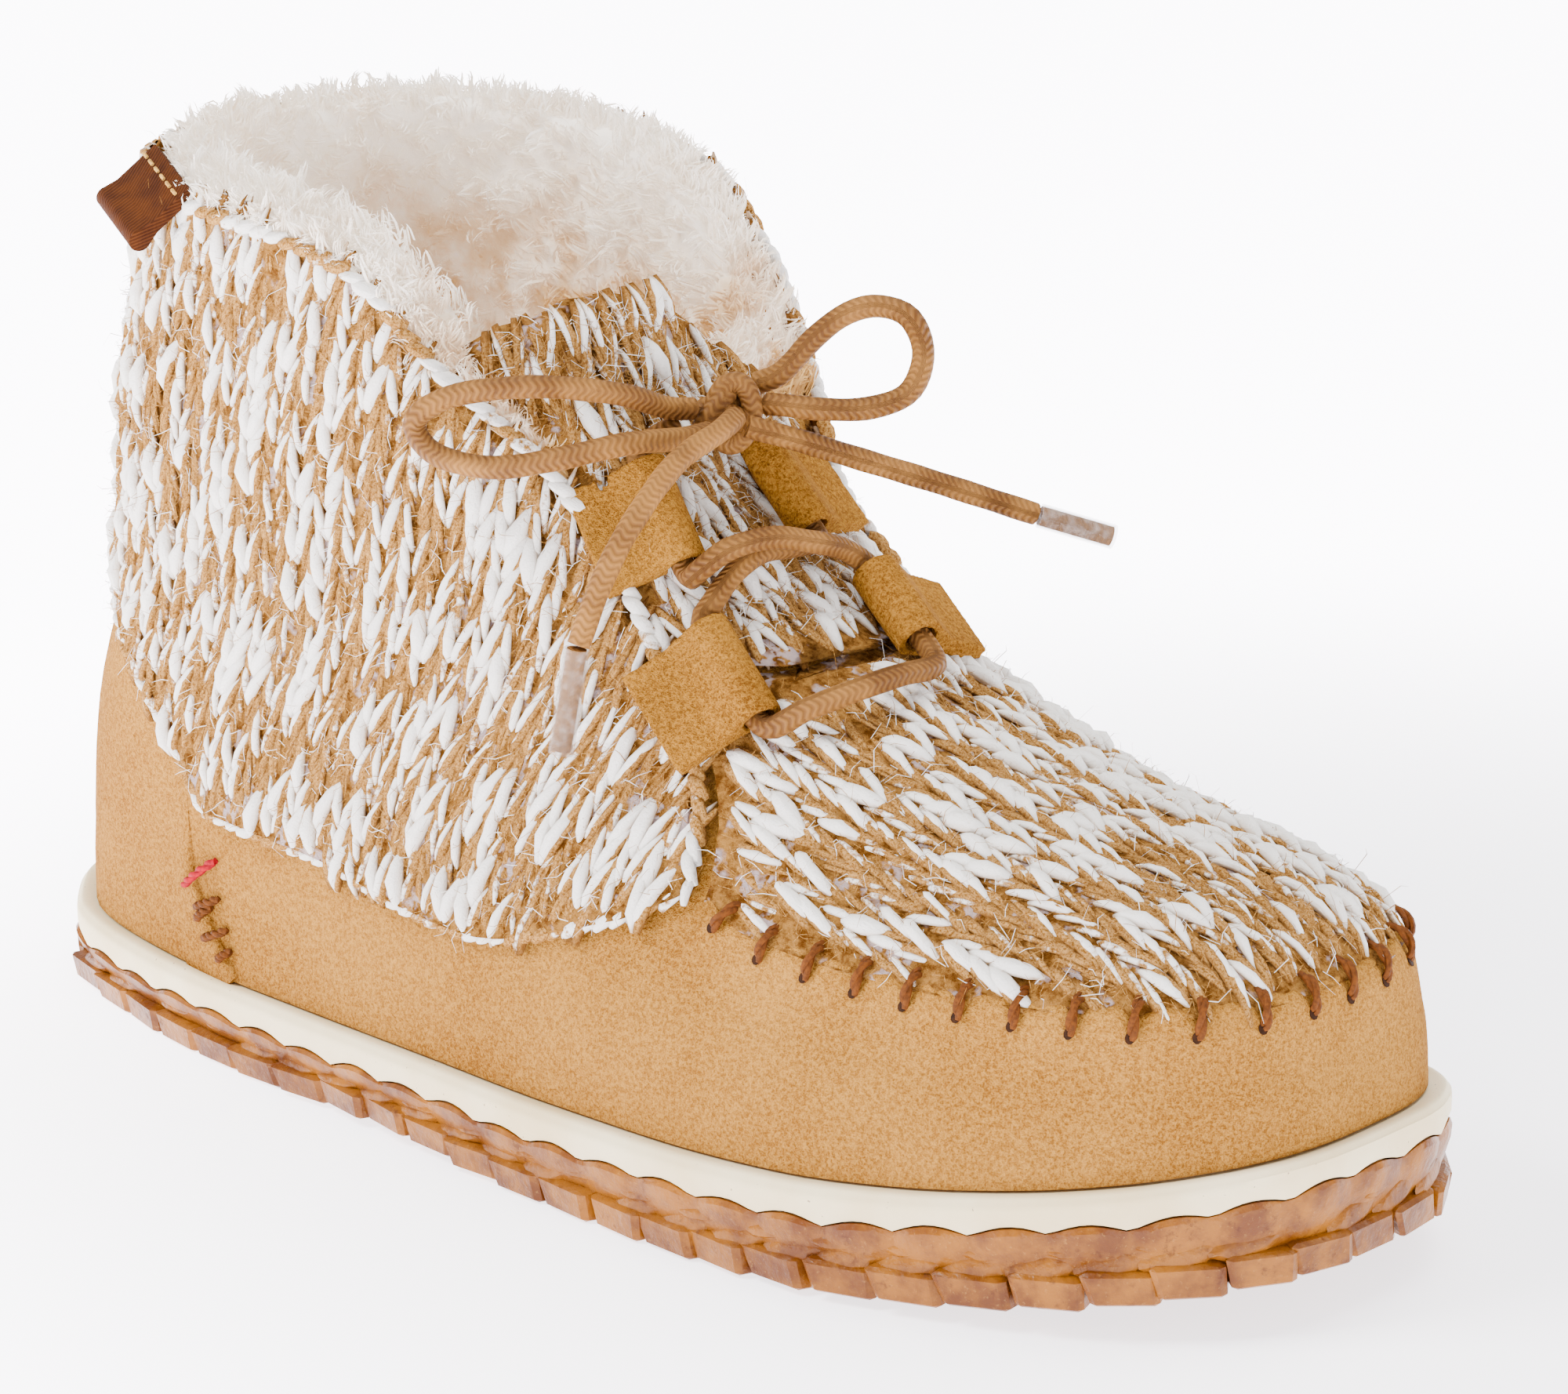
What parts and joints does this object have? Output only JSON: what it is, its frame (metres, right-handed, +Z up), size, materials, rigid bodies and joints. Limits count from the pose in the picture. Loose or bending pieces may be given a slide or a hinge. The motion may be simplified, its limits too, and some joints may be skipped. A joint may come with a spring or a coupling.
{
  "type": "slipper boot",
  "caption": "Ankle-high slipper boot with knitted quarters and vamp, suede foot, lace bow, shearling collar and lugged gum sole.",
  "frame": {"origin": "on the floor under the middle of the bounding box, measured without the bow", "axes": "+X from heel to toe, -Y to the outer side of the foot, +Y to the inner side, +Z up"},
  "size_m": [0.262, 0.1027, 0.149],
  "materials": {
    "gum_rubber": "satin gum rubber",
    "cream_foxing": "matt cream rubber",
    "shearling": "dense cream pile",
    "suede": "napped suede",
    "marl_knit": "chunky marl yarn",
    "suede_trim": "napped suede",
    "woven_tab": "woven ribbon",
    "lace_cord": "waxed round cord",
    "clear_sleeve": "clear gloss sleeve"
  },
  "bodies": {
    "root": {"outsole": "gum_rubber", "midsole_foxing": "cream_foxing", "insole": "shearling", "upper": "suede", "knit_quarters": "marl_knit", "knit_vamp_plug": "marl_knit", "tongue": "marl_knit", "fur_collar": "shearling", "keeper_outer_upper": "suede_trim", "keeper_outer_lower": "suede_trim", "keeper_inner_upper": "suede_trim", "keeper_inner_lower": "suede_trim", "side_tab": "woven_tab", "lace": "lace_cord", "bow_knot": "lace_cord", "bow_loop_outer": "lace_cord", "bow_loop_inner": "lace_cord", "lace_end_outer": "lace_cord", "lace_end_inner": "lace_cord", "aglet_outer": "clear_sleeve", "aglet_inner": "clear_sleeve"}
  },
  "joints": []
}
